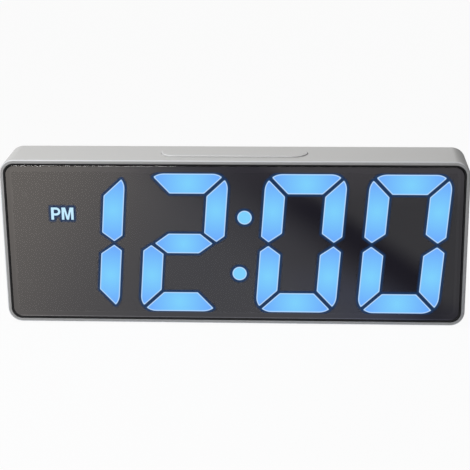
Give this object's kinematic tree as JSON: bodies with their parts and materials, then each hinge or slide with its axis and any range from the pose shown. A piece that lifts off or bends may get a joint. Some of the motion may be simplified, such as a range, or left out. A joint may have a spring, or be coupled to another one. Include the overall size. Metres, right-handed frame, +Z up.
{
  "type": "digital led desk clock",
  "caption": "Free-standing LED desk clock with a mirrored display window, a snooze bar on top, push buttons, a power inlet and a battery bay on the sloping back.",
  "frame": {"origin": "under the middle of the clock, on the plane its pads stand on", "axes": "+X along the face to the right, -Y out of the face, +Z up"},
  "size_m": [0.16, 0.035, 0.0602],
  "materials": {
    "housing": "fine matt texture, pale warm grey",
    "mirror_lens": "half-mirror coated acrylic",
    "black_gasket": "black rubber gasket",
    "reflector": "dark moulding with white wells",
    "lit_segments": "milky insert, lit",
    "dark_segments": "milky insert, unlit",
    "led_white": "small light body",
    "circuit_board": "green solder mask",
    "black_chip": "moulded epoxy",
    "plain_steel": "nickel plated",
    "capacitor_can": "sleeved can",
    "switch_body": "moulded",
    "switch_plunger": "moulded",
    "button_grey": "satin",
    "battery_jacket": "printed jacket, left plain",
    "ribbon_cable": "flat cable",
    "rubber_pads": "black rubber"
  },
  "bodies": {
    "clock": {"front_shell": "housing", "back_cover": "housing", "mirror_lens": "mirror_lens", "lens_gasket": "black_gasket", "display_reflector": "reflector", "lit_segments": "lit_segments", "dark_segments": "dark_segments", "colon_dots": "lit_segments", "indicator_window": "dark_segments", "segment_leds": "led_white", "display_board": "circuit_board", "button_board": "circuit_board", "power_board": "circuit_board", "controller_chip": "black_chip", "driver_chips": "black_chip", "clock_crystal": "plain_steel", "capacitors": "capacitor_can", "buzzer": "black_chip", "snooze_switch": "switch_body", "button_switches": "switch_body", "battery_cell_1": "battery_jacket", "battery_cell_2": "battery_jacket", "battery_cell_3": "battery_jacket", "battery_contacts": "plain_steel", "cover_screws": "plain_steel", "display_board_screws": "plain_steel", "button_board_screws": "plain_steel", "power_inlet": "plain_steel", "ribbon_cable": "ribbon_cable", "rubber_pads": "rubber_pads"},
    "snooze": {"snooze_bar": "housing", "snooze_plunger": "switch_plunger"},
    "battery_lid": {"battery_door": "housing"},
    "alarm_key": {"alarm_button": "button_grey", "alarm_plunger": "switch_plunger"},
    "set_key": {"set_button": "button_grey", "set_plunger": "switch_plunger"},
    "mode_key": {"mode_button": "button_grey", "mode_plunger": "switch_plunger"},
    "down_key": {"down_button": "button_grey", "down_plunger": "switch_plunger"},
    "up_key": {"up_button": "button_grey", "up_plunger": "switch_plunger"}
  },
  "joints": [
    {"name": "snooze_press", "type": "slide", "parent": "clock", "child": "snooze", "axis": [0, 0, -1], "range_m": [0, 0.0006], "stiffness_N_per_m": 300, "springref_m": -0.0006},
    {"name": "battery_door_hinge", "type": "hinge", "parent": "clock", "child": "battery_lid", "pos_m": [0, 0.01599, 0.00684], "axis": [-1, 0, 0], "range_deg": [0, 60]},
    {"name": "alarm_press", "type": "slide", "parent": "clock", "child": "alarm_key", "axis": [0, -0.9724, -0.2335], "range_m": [0, 0.0005], "stiffness_N_per_m": 250, "springref_m": -0.0005},
    {"name": "set_press", "type": "slide", "parent": "clock", "child": "set_key", "axis": [0, -0.9724, -0.2335], "range_m": [0, 0.0005], "stiffness_N_per_m": 250, "springref_m": -0.0005},
    {"name": "mode_press", "type": "slide", "parent": "clock", "child": "mode_key", "axis": [0, -0.9724, -0.2335], "range_m": [0, 0.0005], "stiffness_N_per_m": 250, "springref_m": -0.0005},
    {"name": "down_press", "type": "slide", "parent": "clock", "child": "down_key", "axis": [0, -0.9724, -0.2335], "range_m": [0, 0.0005], "stiffness_N_per_m": 250, "springref_m": -0.0005},
    {"name": "up_press", "type": "slide", "parent": "clock", "child": "up_key", "axis": [0, -0.9724, -0.2335], "range_m": [0, 0.0005], "stiffness_N_per_m": 250, "springref_m": -0.0005}
  ]
}
